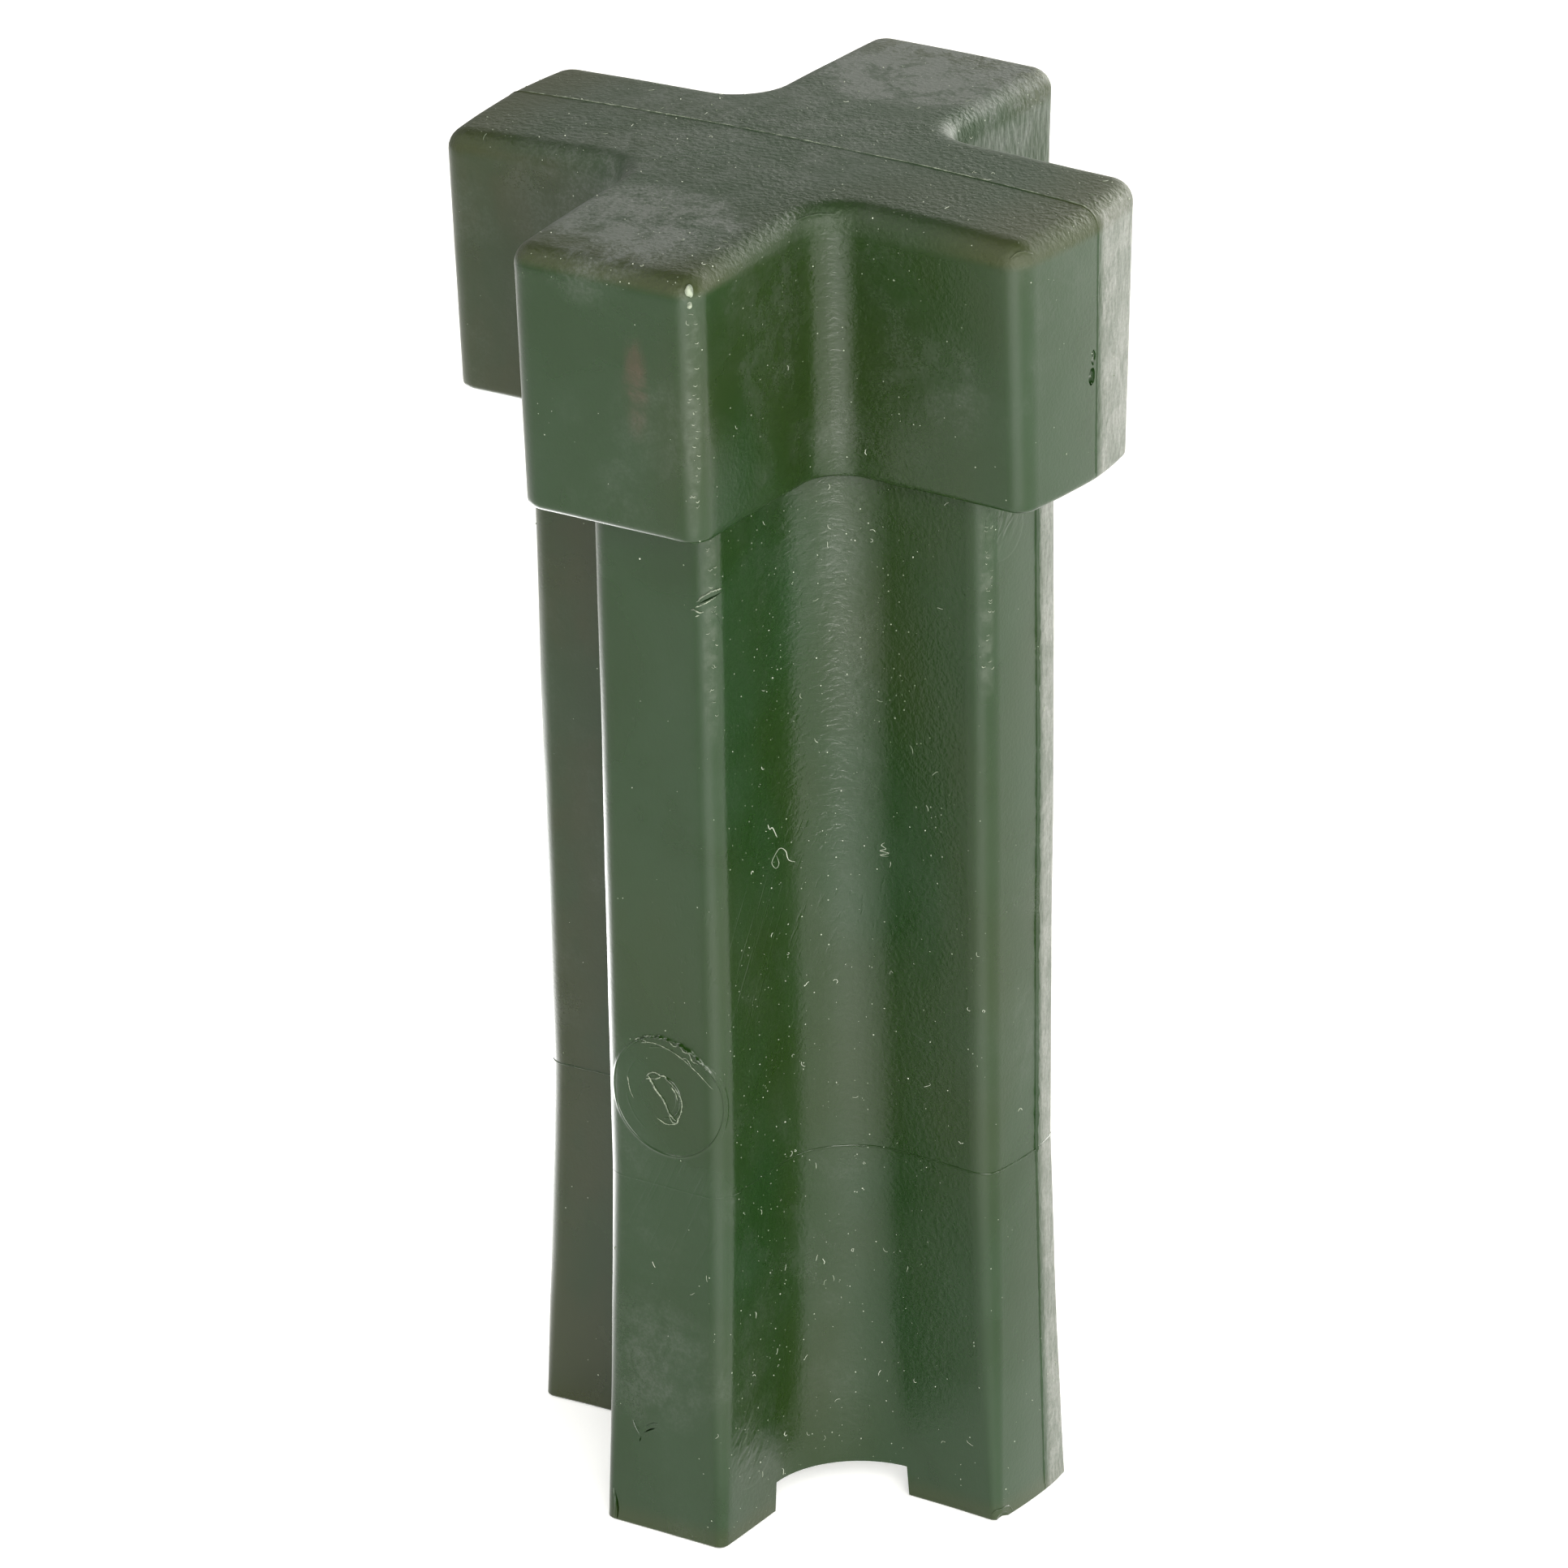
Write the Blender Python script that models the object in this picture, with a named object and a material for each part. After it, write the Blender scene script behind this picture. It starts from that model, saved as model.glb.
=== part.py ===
"""Drive-in block for post sockets, a single solid plastic moulding.

A cross-shaped head takes the hammer blows. A longer, narrower cross-shaped shaft below it slides into
the socket. The four arms leave a rounded flute in each corner, and the foot has a shallow round recess.

Frame: metres, +Z up, origin at the centre of the foot plane. The mould opens along Y, so the front and
back arms lie along Y, and the side arms along X carry the parting ridge on their end faces.
"""

import math
from dataclasses import dataclass

import bmesh
import bpy

MM = 0.001

# Heights above the foot plane, in millimetres
TOTAL_HEIGHT = 180.2
SHAFT_LENGTH = 143.2
WITNESS_HEIGHT = 49.1
CROWN_DROP = 0.9  # the top face falls this much from its centre to CROWN_RADIUS
CROWN_RADIUS = 38.0
CROWN_FLAT = 0.45  # share of the top outline that stays truly flat

# Edge treatment, in millimetres
TOP_EDGE_RADIUS = 2.7
UNDER_EDGE_RADIUS = 1.0
FOOT_EDGE_BREAK = 0.2
EDGE_STEPS = 5
CORNER_STEPS = 4
FLUTE_STEPS = 8
SMALLEST_RADIUS = 0.25

# The plane where the two mould halves meet sits a little behind the middle
PARTING_OFFSET = 2.1

# Recess in the foot, in millimetres
RECESS_RADIUS = 22.6
RECESS_DEPTH = 4.2
RECESS_DRAFT = 0.4
RECESS_SIDES = 48

# Injection gate mark on the front arm, in millimetres
GATE_HEIGHT = 61.8
GATE_RADIUS = 7.9
GATE_PROUD = 0.25
GATE_DEPTH = 3.0
GATE_SIDES = 40

BODY_NAME = "moulded_block"
BODY_COLOR = (0.045, 0.085, 0.042, 1.0)
BODY_ROUGHNESS = 0.42
SHARP_ANGLE = math.radians(32.0)


@dataclass(frozen=True)
class CrossSection:
    """One horizontal section: how far the arms reach and how wide they are, in millimetres."""

    side_reach: float
    front_reach: float
    side_half_width: float
    front_half_width: float
    corner: float
    flute: float
    ridge: float

    def inset(self, distance):
        """The parallel outline at this distance inside the section."""
        return CrossSection(
            self.side_reach - distance,
            self.front_reach - distance,
            self.side_half_width - distance,
            self.front_half_width - distance,
            max(self.corner - distance, SMALLEST_RADIUS),
            self.flute + distance,
            self.ridge,
        )


HEAD_TOP = CrossSection(43.2, 43.0, 14.2, 13.8, 2.9, 5.5, 0.9)
HEAD_BOTTOM = CrossSection(42.8, 41.5, 12.8, 13.4, 2.9, 5.5, 0.9)
SHAFT_TOP = CrossSection(34.7, 32.9, 8.9, 9.1, 2.2, 10.5, 0.2)
SHAFT_WITNESS = CrossSection(34.2, 31.9, 8.2, 9.1, 2.2, 10.5, 0.2)
SHAFT_FOOT = CrossSection(35.2, 33.5, 8.6, 9.1, 1.8, 12.0, 0.2)


def arc(centre_x, centre_y, radius, start, end, steps):
    """Points on an arc; the angles are in degrees and may run either way."""
    points = []
    for step in range(steps + 1):
        angle = math.radians(start + (end - start) * step / steps)
        points.append((centre_x + radius * math.cos(angle), centre_y + radius * math.sin(angle)))
    return points


def first_quarter(section):
    """The outline from the +X arm's end, round the flute, to the +Y arm's end."""
    corner = section.corner
    flute = section.flute
    points = arc(
        section.side_reach - corner, section.side_half_width - corner, corner, 0, 90, CORNER_STEPS
    )
    points += arc(
        section.front_half_width + flute, section.side_half_width + flute, flute, 270, 180, FLUTE_STEPS
    )
    points += arc(
        section.front_half_width - corner, section.front_reach - corner, corner, 0, 90, CORNER_STEPS
    )
    return points


def cross_outline(section):
    """The whole outline, anticlockwise, with the parting ridge on both side arms' end faces."""
    quarter = first_quarter(section)
    ridge_x = section.side_reach + section.ridge
    outline = [(ridge_x, PARTING_OFFSET)]
    outline += quarter
    outline += [(-x, y) for x, y in reversed(quarter)]
    outline.append((-ridge_x, PARTING_OFFSET))
    outline += [(-x, -y) for x, y in quarter]
    outline += [(x, -y) for x, y in reversed(quarter)]
    return outline


def ring(section, height):
    """A section's outline as 3D points at one height."""
    return [(x, y, height) for x, y in cross_outline(section)]


def crown_height(x, y):
    """Height of the slightly domed striking face."""
    return TOTAL_HEIGHT - CROWN_DROP * (math.hypot(x, y) / CROWN_RADIUS) ** 2


def crown_ring(section, share):
    """The top outline shrunk towards the axis and laid on the domed face."""
    points = [(x * share, y * share) for x, y in cross_outline(section)]
    return [(x, y, crown_height(x, y)) for x, y in points]


def foot_and_shaft_rings():
    """From the foot plane up to the head's underside."""
    return [
        ring(SHAFT_FOOT.inset(FOOT_EDGE_BREAK), 0.0),
        ring(SHAFT_FOOT, FOOT_EDGE_BREAK),
        ring(SHAFT_WITNESS, WITNESS_HEIGHT),
        ring(SHAFT_TOP, SHAFT_LENGTH),
    ]


def under_edge_rings():
    """The rounded lower edge of the head, from its flat underside outwards and up."""
    rings = []
    for step in range(EDGE_STEPS + 1):
        angle = 0.5 * math.pi * step / EDGE_STEPS
        distance = UNDER_EDGE_RADIUS * (1.0 - math.sin(angle))
        rise = UNDER_EDGE_RADIUS * (1.0 - math.cos(angle))
        rings.append(ring(HEAD_BOTTOM.inset(distance), SHAFT_LENGTH + rise))
    return rings


def top_edge_rings():
    """The rounded upper edge of the head, following the domed face."""
    rings = []
    for step in range(EDGE_STEPS + 1):
        angle = 0.5 * math.pi * step / EDGE_STEPS
        distance = TOP_EDGE_RADIUS * (1.0 - math.cos(angle))
        drop = TOP_EDGE_RADIUS * (1.0 - math.sin(angle))
        outline = cross_outline(HEAD_TOP.inset(distance))
        rings.append([(x, y, crown_height(x, y) - drop) for x, y in outline])
    return rings


def crown_rings():
    """The domed face, from the rounded edge to the flat patch in the middle."""
    top = HEAD_TOP.inset(TOP_EDGE_RADIUS)
    middle = crown_ring(top, 0.5 * (1.0 + CROWN_FLAT))
    flat = [(x * CROWN_FLAT, y * CROWN_FLAT, TOTAL_HEIGHT) for x, y in cross_outline(top)]
    return [middle, flat]


def loft(name, rings):
    """A closed solid through rings that all have the same number of points."""
    mesh = bmesh.new()
    loops = [[mesh.verts.new([value * MM for value in point]) for point in points] for points in rings]
    count = len(loops[0])
    for lower, upper in zip(loops, loops[1:]):
        for index in range(count):
            after = (index + 1) % count
            mesh.faces.new((lower[index], lower[after], upper[after], upper[index]))
    mesh.faces.new(reversed(loops[0]))
    mesh.faces.new(loops[-1])
    data = bpy.data.meshes.new(name)
    mesh.to_mesh(data)
    mesh.free()
    return bpy.data.objects.new(name, data)


def recess_cutter():
    """A slightly tapered plug that leaves the round recess in the foot."""
    overshoot = 2.0
    bpy.ops.mesh.primitive_cone_add(
        vertices=RECESS_SIDES,
        radius1=(RECESS_RADIUS + RECESS_DRAFT) * MM,
        radius2=RECESS_RADIUS * MM,
        depth=(RECESS_DEPTH + overshoot) * MM,
        location=(0, 0, 0.5 * (RECESS_DEPTH - overshoot) * MM),
    )
    cutter = bpy.context.object
    cutter.name = "recess_cutter"
    return cutter


def gate_disc():
    """The low round pad that the injection gate left on the front arm's end face."""
    share = (GATE_HEIGHT - WITNESS_HEIGHT) / (SHAFT_LENGTH - WITNESS_HEIGHT)
    reach = SHAFT_WITNESS.front_reach + share * (SHAFT_TOP.front_reach - SHAFT_WITNESS.front_reach)
    slope = math.atan2(
        SHAFT_TOP.front_reach - SHAFT_WITNESS.front_reach, SHAFT_LENGTH - WITNESS_HEIGHT
    )
    bpy.ops.mesh.primitive_cylinder_add(
        vertices=GATE_SIDES,
        radius=GATE_RADIUS * MM,
        depth=GATE_DEPTH * MM,
        location=(0, -(reach + GATE_PROUD - 0.5 * GATE_DEPTH) * MM, GATE_HEIGHT * MM),
        rotation=(0.5 * math.pi + slope, 0, 0),
    )
    disc = bpy.context.object
    disc.name = "gate_disc"
    return disc


def plastic_material():
    """Dark green satin plastic."""
    material = bpy.data.materials.new("green_plastic")
    material.use_nodes = True
    shader = material.node_tree.nodes["Principled BSDF"]
    shader.inputs["Base Color"].default_value = BODY_COLOR
    shader.inputs["Roughness"].default_value = BODY_ROUGHNESS
    shader.inputs["Metallic"].default_value = 0.0
    return material


def collection(name):
    """A new collection in the scene."""
    group = bpy.data.collections.new(name)
    bpy.context.scene.collection.children.link(group)
    return group


def move_to(piece, group):
    """Leave the piece in this collection only."""
    for owner in list(piece.users_collection):
        owner.objects.unlink(piece)
    group.objects.link(piece)


def boolean(target, tool, operation):
    """Cut or join with an exact Boolean, and keep the tool as a guide."""
    modifier = target.modifiers.new(tool.name, "BOOLEAN")
    modifier.operation = operation
    modifier.solver = "EXACT"
    modifier.object = tool
    tool.hide_render = True
    tool.display_type = "WIRE"


def main():
    for old in list(bpy.data.objects):
        bpy.data.objects.remove(old)
    parts = collection("drive_in_block")
    tools = collection("cutters")

    rings = foot_and_shaft_rings() + under_edge_rings() + top_edge_rings() + crown_rings()
    body = loft(BODY_NAME, rings)
    move_to(body, parts)
    body.data.materials.append(plastic_material())

    for tool, operation in ((recess_cutter(), "DIFFERENCE"), (gate_disc(), "UNION")):
        move_to(tool, tools)
        boolean(body, tool, operation)

    body.data.shade_smooth()
    body.data.set_sharp_from_angle(angle=SHARP_ANGLE)


main()
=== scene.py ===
"""Looks for the drive-in block: a fine moulded body, its mould marks, scuffs and dust, and a pale studio."""

import math
from dataclasses import dataclass, fields
from functools import partial, reduce

import bmesh
import bpy
import numpy as np
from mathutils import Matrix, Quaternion, Vector, noise
from mathutils.bvhtree import BVHTree


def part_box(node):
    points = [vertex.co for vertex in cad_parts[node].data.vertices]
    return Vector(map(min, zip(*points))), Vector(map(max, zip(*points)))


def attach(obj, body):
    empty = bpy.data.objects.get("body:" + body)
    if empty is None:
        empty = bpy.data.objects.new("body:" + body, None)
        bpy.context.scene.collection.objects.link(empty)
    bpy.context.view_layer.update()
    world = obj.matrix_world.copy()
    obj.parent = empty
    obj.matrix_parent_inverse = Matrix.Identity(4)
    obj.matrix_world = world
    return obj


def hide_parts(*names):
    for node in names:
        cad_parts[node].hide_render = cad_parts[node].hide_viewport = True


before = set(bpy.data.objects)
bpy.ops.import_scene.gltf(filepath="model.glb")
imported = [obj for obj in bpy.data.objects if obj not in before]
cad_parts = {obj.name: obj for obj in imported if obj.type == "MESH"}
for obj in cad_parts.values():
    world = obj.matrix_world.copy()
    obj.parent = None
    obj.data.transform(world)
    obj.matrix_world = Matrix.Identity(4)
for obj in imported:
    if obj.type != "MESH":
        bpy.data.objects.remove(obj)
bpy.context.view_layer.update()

MM = 0.001
BLOCK = "moulded_block"

# Sizes in millimetres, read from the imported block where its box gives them
box_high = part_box(BLOCK)[1]
TOTAL_HEIGHT = box_high[2] / MM
HEAD_RIDGE = 0.9
SHAFT_RIDGE = 0.45
SIDE_REACH = box_high[0] / MM - HEAD_RIDGE
FRONT_REACH = box_high[1] / MM
SHAFT_LENGTH = 143.2
WITNESS_HEIGHT = 49.1
PARTING_OFFSET = 2.1
BACK_BOW = 0.020
FRONT_BOW = 0.014
WALL_SINK = 0.5

UNDER_EDGE_RADIUS = 0.9
SHOULDER_FILLET = 1.2
TOP_EDGE_RADIUS = 2.7
FOOT_EDGE_BREAK = 0.25
SMALLEST_CORNER = 0.25

# The striking face: a shallow dome whose highest point has been driven off centre
CROWN_CURVE = 6.2e-4  # drop in mm per square mm of distance
CROWN_APEX = (6.5, 14.0)
CROWN_HEIGHT = TOTAL_HEIGHT + 0.15

# Unevenness of the moulded surface: height, size across and a seed
WAVES = [(0.11, 24.0, 0.0), (0.03, 6.0, 3.0)]

RECESS_RADIUS = 22.6
RECESS_DEPTH = 4.2
RECESS_DRAFT = 0.4
RECESS_POINTS = 128

# Knocked vertical edges: where they stand, and from what height to what height
SCUFFED_EDGES = [(12.8, -41.4, 147, 177), (8.5, -32.0, 116, 141), (34.0, -8.1, 119, 141)]

# Points along the stretches of a quarter outline, and rings up the block
END_POINTS = 10
CORNER_POINTS = 8
SIDE_POINTS = 17
FLUTE_POINTS = 16
SHAFT_RINGS = 190
HEAD_RINGS = 48
EDGE_RINGS = 8
CROWN_RINGS = 22
FILLET_RINGS = 4
UNDER_EDGE_RINGS = 5
CROWN_MIDDLE = 0.03  # the innermost ring's size, as a share of the crown's outline

# Angles in degrees between faces, above which an edge is drawn sharp
PIECE_SHARPNESS = 45
BODY_SHARPNESS = 42
RELIEF_SHARPNESS = 60
NEVER_SHARP = 180


@dataclass
class CrossSection:
    """One horizontal section: how far the arms reach and how wide they are, in millimetres."""

    side_reach: float
    front_reach: float
    side_half_width: float
    front_half_width: float
    corner: float
    flute: float
    ridge: float

    def inset(self, distance):
        """The parallel outline at this distance inside the section."""
        sizes = (self.side_reach, self.front_reach, self.side_half_width, self.front_half_width)
        corner = max(self.corner - distance, SMALLEST_CORNER)
        return CrossSection(*[size - distance for size in sizes], corner, self.flute + distance, self.ridge)

    def towards(self, other, share):
        """The section part of the way to another one."""
        mixed = [
            getattr(self, field.name) * (1 - share) + getattr(other, field.name) * share
            for field in fields(self)
        ]
        return CrossSection(*mixed)


HEAD_TOP = CrossSection(SIDE_REACH, FRONT_REACH, 14.2, 13.8, 3.3, 5.5, HEAD_RIDGE)
HEAD_BOTTOM = CrossSection(42.8, 41.5, 12.8, 13.4, 3.0, 5.0, HEAD_RIDGE)
SHAFT_LEVELS = [
    (height, CrossSection(*sizes, SHAFT_RIDGE))
    for height, *sizes in (
        (0.0, 35.4, 33.6, 8.7, 9.1, 1.4, 12.6),
        (22.0, 34.8, 32.8, 8.4, 9.1, 2.2, 11.2),
        (WITNESS_HEIGHT, 34.2, 31.9, 8.2, 9.1, 2.7, 10.5),
        (105.0, 34.6, 32.6, 8.7, 9.1, 2.8, 10.5),
        (SHAFT_LENGTH, 34.7, 32.9, 8.9, 9.1, 2.8, 10.5),
    )
]


def shaft_section(height):
    """The shaft's section at any height."""
    for (low, lower), (high, upper) in zip(SHAFT_LEVELS, SHAFT_LEVELS[1:]):
        if height <= high:
            return lower.towards(upper, (height - low) / (high - low))
    return SHAFT_LEVELS[-1][1]


def arc(centre, radius, start, end, count):
    """Points on an arc without its last one; angles in degrees."""
    angles = np.radians(np.linspace(start, end, count, endpoint=False))
    return np.column_stack((centre[0] + radius * np.cos(angles), centre[1] + radius * np.sin(angles)))


def straight(start, end, count, bow=0.0):
    """Points on a stretch without its last one; it bows out by this share of its length."""
    start, end = np.array(start), np.array(end)
    shares = np.linspace(0, 1, count, endpoint=False)[:, None]
    run = end - start
    return start * (1 - shares) + end * shares + 4 * bow * shares * (1 - shares) * (run[1], -run[0])


def quarter_stretches(section):
    """The outline from the middle of the +X arm's end to the middle of the +Y arm's end."""
    corner, flute = section.corner, section.flute
    side, front = section.side_half_width, section.front_half_width
    reach, far = section.side_reach, section.front_reach
    root = side - WALL_SINK
    wall = straight((reach - corner, side), (front + flute, side), SIDE_POINTS)
    wall[:, 1] -= WALL_SINK * (1 - np.linspace(1, 0, SIDE_POINTS, endpoint=False) ** 2)
    return [
        arc((reach - corner, side - corner), corner, 0, 90, CORNER_POINTS),
        wall,
        arc((front + flute, root + flute), flute, 270, 180, FLUTE_POINTS),
        straight((front, root + flute), (front, far - corner), SIDE_POINTS),
        arc((front - corner, far - corner), corner, 0, 90, CORNER_POINTS),
        np.array([(front - corner, far)]),
    ]


def half_outline(quarter, ridge, bow):
    """From the parting ridge on one arm's end to the one on the opposite arm's end."""
    mirrored = quarter[::-1] * (-1, 1)
    return [
        straight((ridge, PARTING_OFFSET), quarter[0], END_POINTS, bow),
        quarter,
        straight(quarter[-1], mirrored[0], 2 * END_POINTS)[1:],
        mirrored,
        straight(mirrored[-1], (-ridge, PARTING_OFFSET), END_POINTS, bow)[1:],
    ]


def cross_outline(section):
    """The whole outline, anticlockwise from the +X arm's parting ridge."""
    quarter = np.vstack(quarter_stretches(section))
    ridge = section.side_reach + section.ridge
    return np.vstack(half_outline(quarter, ridge, BACK_BOW) + half_outline(-quarter, -ridge, FRONT_BOW))


def crown_height(points):
    """Height of the striking face over points in plan."""
    distance = (points[:, 0] - CROWN_APEX[0]) ** 2 + (points[:, 1] - CROWN_APEX[1]) ** 2
    return CROWN_HEIGHT - CROWN_CURVE * distance


def with_height(outline, heights):
    """Plan points with their heights, which may be one number."""
    return np.column_stack((outline, np.broadcast_to(heights, len(outline))))


def quarter_turn(count):
    """Angles from 0 to a right angle."""
    return np.linspace(0, 0.5 * math.pi, count)


def full_turn(count):
    """Angles all the way round, without the last one."""
    return np.linspace(0, 2 * math.pi, count, endpoint=False)


def body_rings():
    """Every ring of the block, from the foot plane up to the middle of the striking face."""
    levels = [(SHAFT_LEVELS[0][1].inset(FOOT_EDGE_BREAK), 0.0)]
    for height in np.linspace(FOOT_EDGE_BREAK, SHAFT_LENGTH - SHOULDER_FILLET, SHAFT_RINGS):
        levels.append((shaft_section(height), height))
    for angle in quarter_turn(FILLET_RINGS)[1:]:
        flare = SHOULDER_FILLET * (1 - math.cos(angle))
        height = SHAFT_LENGTH - SHOULDER_FILLET * (1 - math.sin(angle))
        levels.append((SHAFT_LEVELS[-1][1].inset(-flare), height))
    for angle in quarter_turn(UNDER_EDGE_RINGS):
        distance = UNDER_EDGE_RADIUS * (1 - math.sin(angle))
        height = SHAFT_LENGTH + UNDER_EDGE_RADIUS * (1 - math.cos(angle))
        levels.append((HEAD_BOTTOM.inset(distance), height))
    rings = [with_height(cross_outline(section), height) for section, height in levels]
    start = SHAFT_LENGTH + UNDER_EDGE_RADIUS
    for share in np.linspace(0, 1, HEAD_RINGS)[1:-1]:
        outline = cross_outline(HEAD_BOTTOM.towards(HEAD_TOP, share))
        end = crown_height(outline) - TOP_EDGE_RADIUS
        rings.append(with_height(outline, start + (end - start) * share))
    for angle in quarter_turn(EDGE_RINGS):
        outline = cross_outline(HEAD_TOP.inset(TOP_EDGE_RADIUS * (1 - math.cos(angle))))
        drop = TOP_EDGE_RADIUS * (1 - math.sin(angle))
        rings.append(with_height(outline, crown_height(outline) - drop))
    top = cross_outline(HEAD_TOP.inset(TOP_EDGE_RADIUS))
    for share in np.linspace(1, CROWN_MIDDLE, CROWN_RINGS)[1:]:
        rings.append(with_height(top * share, crown_height(top * share)))
    return rings


def ring_faces(levels, count, closed):
    """Faces through equal rings; capped at both ends unless the last ring meets the first."""
    steps = np.arange(count)
    after = np.roll(steps, -1)
    faces = []
    for level in range(levels if closed else levels - 1):
        low, high = level * count, (level + 1) % levels * count
        faces.append(np.column_stack((low + steps, low + after, high + after, high + steps)))
    faces = np.vstack(faces).tolist()
    if not closed:
        faces.append(steps[::-1].tolist())
        faces.append(((levels - 1) * count + steps).tolist())
    return faces


def ring_solid(rings, closed=False):
    """A closed solid through equal rings of points."""
    rings = np.asarray(rings)
    return rings.reshape(-1, 3), ring_faces(len(rings), rings.shape[1], closed)


def add_piece(name, solids, sharpness=PIECE_SHARPNESS):
    """A new object of closed solids; each is (points in millimetres, faces)."""
    points, faces = [], []
    for solid_points, solid_faces in solids:
        offset = len(points)
        points.extend((np.asarray(solid_points) * MM).tolist())
        faces.extend([[index + offset for index in face] for face in solid_faces])
    mesh = bpy.data.meshes.new(name)
    mesh.from_pydata(points, [], faces)
    work = bmesh.new()
    work.from_mesh(mesh)
    bmesh.ops.recalc_face_normals(work, faces=work.faces)
    work.to_mesh(mesh)
    work.free()
    mesh.shade_smooth()
    mesh.set_sharp_from_angle(angle=math.radians(sharpness))
    piece = bpy.data.objects.new(name, mesh)
    bpy.context.scene.collection.objects.link(piece)
    return piece


def vertex_values(mesh, name):
    """Every vertex's position in metres ("co") or outward direction ("normal")."""
    values = np.empty(len(mesh.vertices) * 3)
    mesh.vertices.foreach_get(name, values)
    return values.reshape(-1, 3)


def unit(vectors):
    """Vectors scaled to length one."""
    vectors = np.asarray(vectors, dtype=float)
    length = np.linalg.norm(vectors, axis=-1, keepdims=True)
    return vectors / np.maximum(length, 1e-9)


def grain(point, size, seed=0.0):
    """Smooth noise from -1 to 1 at one point in millimetres."""
    return noise.noise(Vector(point) / size + Vector((seed, -seed, 0.5 * seed)))


def waviness(points):
    """How far the moulded surface stands off its true shape, in millimetres, at points in millimetres."""
    return sum(
        height * np.array([grain(point, size, seed) for point in points])
        for height, size, seed in WAVES
    )


def smooth_path(points, step):
    """Points about this far apart on a smooth curve through the given ones."""
    points = np.asarray(points, dtype=float)
    ends = np.vstack((2 * points[0] - points[1], points, 2 * points[-1] - points[-2]))
    path = []
    for a, b, c, d in zip(ends, ends[1:], ends[2:], ends[3:]):
        count = max(2, math.ceil(np.linalg.norm(c - b) / step))
        for t in np.linspace(0, 1, count, endpoint=False):
            point = 2 * b + (c - a) * t + (2 * a - 5 * b + 4 * c - d) * t**2 + (3 * b - a - 3 * c + d) * t**3
            path.append(0.5 * point)
    path.append(points[-1])
    return np.array(path)


# ---- The body


def recess_cutter():
    """The tapered plug that leaves the round recess."""
    angles = full_turn(RECESS_POINTS)
    circle = np.column_stack((np.cos(angles), np.sin(angles)))
    wide = RECESS_RADIUS + RECESS_DRAFT
    profile = [(wide + 0.2, -2.0), (wide, 0.0), (RECESS_RADIUS, RECESS_DEPTH)]
    return ring_solid([with_height(circle * radius, height) for radius, height in profile])


SLIT_RISE = 0.8  # how far a slit's cutter stands above the surface


def slit(points, out, width, depth):
    """A V-shaped cut along a path on the surface; out is the surface's outward direction there."""
    path = smooth_path(points, 0.25)
    out = unit(out)
    rings = []
    for share, point in zip(np.linspace(-1, 1, len(path)), path):
        swell = max(0.12, 1 - share**2)
        across = unit(np.cross(out, path[-1] - path[0]))
        half = 0.5 * width * swell * (1 + 0.35 * grain(point, 0.5))
        lips = [point + side * across * half + out * SLIT_RISE for side in (1, -1)]
        rings.append([*lips, point - out * depth * swell])
    return ring_solid(rings)


LUMPINESS = 0.22


def pebble(centre, radii, seed, rows=9, columns=14):
    """A closed, slightly lumpy ellipsoid, used for chips, pits and lumps."""
    rings = []
    for tilt in np.linspace(-0.46, 0.46, rows) * math.pi:
        ring = []
        for turn in full_turn(columns):
            ray = np.array((math.cos(turn) * math.cos(tilt), math.sin(turn) * math.cos(tilt), math.sin(tilt)))
            ring.append(np.asarray(centre) + ray * radii * (1 + LUMPINESS * grain(ray, 0.7, seed)))
        rings.append(ring)
    return ring_solid(rings)


def damage_cutters():
    """The slits, pits and chips that use has left, all on the front half of the block."""
    front = (0, -1, 0)
    edge = (0.7, -0.7, 0)
    return [
        slit([(7.0, -32.9, 131.2), (8.4, -32.1, 132.0), (9.3, -30.2, 132.6)], edge, 0.6, 0.9),
        slit([(-3.9, -33.3, 11.9), (-3.55, -33.3, 13.1)], front, 0.6, 0.6),
        slit([(-3.4, -33.3, 13.4), (-2.3, -33.3, 14.2), (-1.1, -33.2, 14.8)], front, 0.75, 0.8),
        slit([(-3.65, -33.3, 13.5), (-4.3, -33.2, 14.5)], front, 0.4, 0.4),
        slit([(-7.3, -33.7, -0.5), (-7.1, -33.6, 2.0), (-7.6, -33.5, 4.6)], front, 0.6, 0.8),
        pebble((43.9, 0.9, 157.7), (0.9, 0.75, 1.2), 2.0),
        pebble((43.9, 1.2, 160.1), (0.6, 0.5, 1.0), 4.0),
        pebble((35.9, -7.4, 0.1), (1.3, 1.6, 1.1), 5.0),
    ]


def cut(piece, cutter):
    """Apply an exact Boolean cut and remove the cutter."""
    modifier = piece.modifiers.new("cut", "BOOLEAN")
    modifier.operation = "DIFFERENCE"
    modifier.solver = "EXACT"
    modifier.object = cutter
    graph = bpy.context.evaluated_depsgraph_get()
    done = bpy.data.meshes.new_from_object(piece.evaluated_get(graph))
    piece.modifiers.clear()
    piece.data = done
    bpy.data.objects.remove(cutter)


def make_body():
    """The whole moulding: loft, waviness, recess and damage."""
    body = add_piece("moulded_body", [ring_solid(body_rings())])
    mesh = body.data
    points = vertex_values(mesh, "co")
    points += vertex_values(mesh, "normal") * (waviness(points / MM) * MM)[:, None]
    points[:, 2] = np.maximum(points[:, 2], 0.0)
    mesh.vertices.foreach_set("co", points.ravel())
    mesh.update()
    cut(body, add_piece("cutters", [recess_cutter()] + damage_cutters()))
    body.data.shade_smooth()
    body.data.set_sharp_from_angle(angle=math.radians(BODY_SHARPNESS))
    return body


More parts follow.
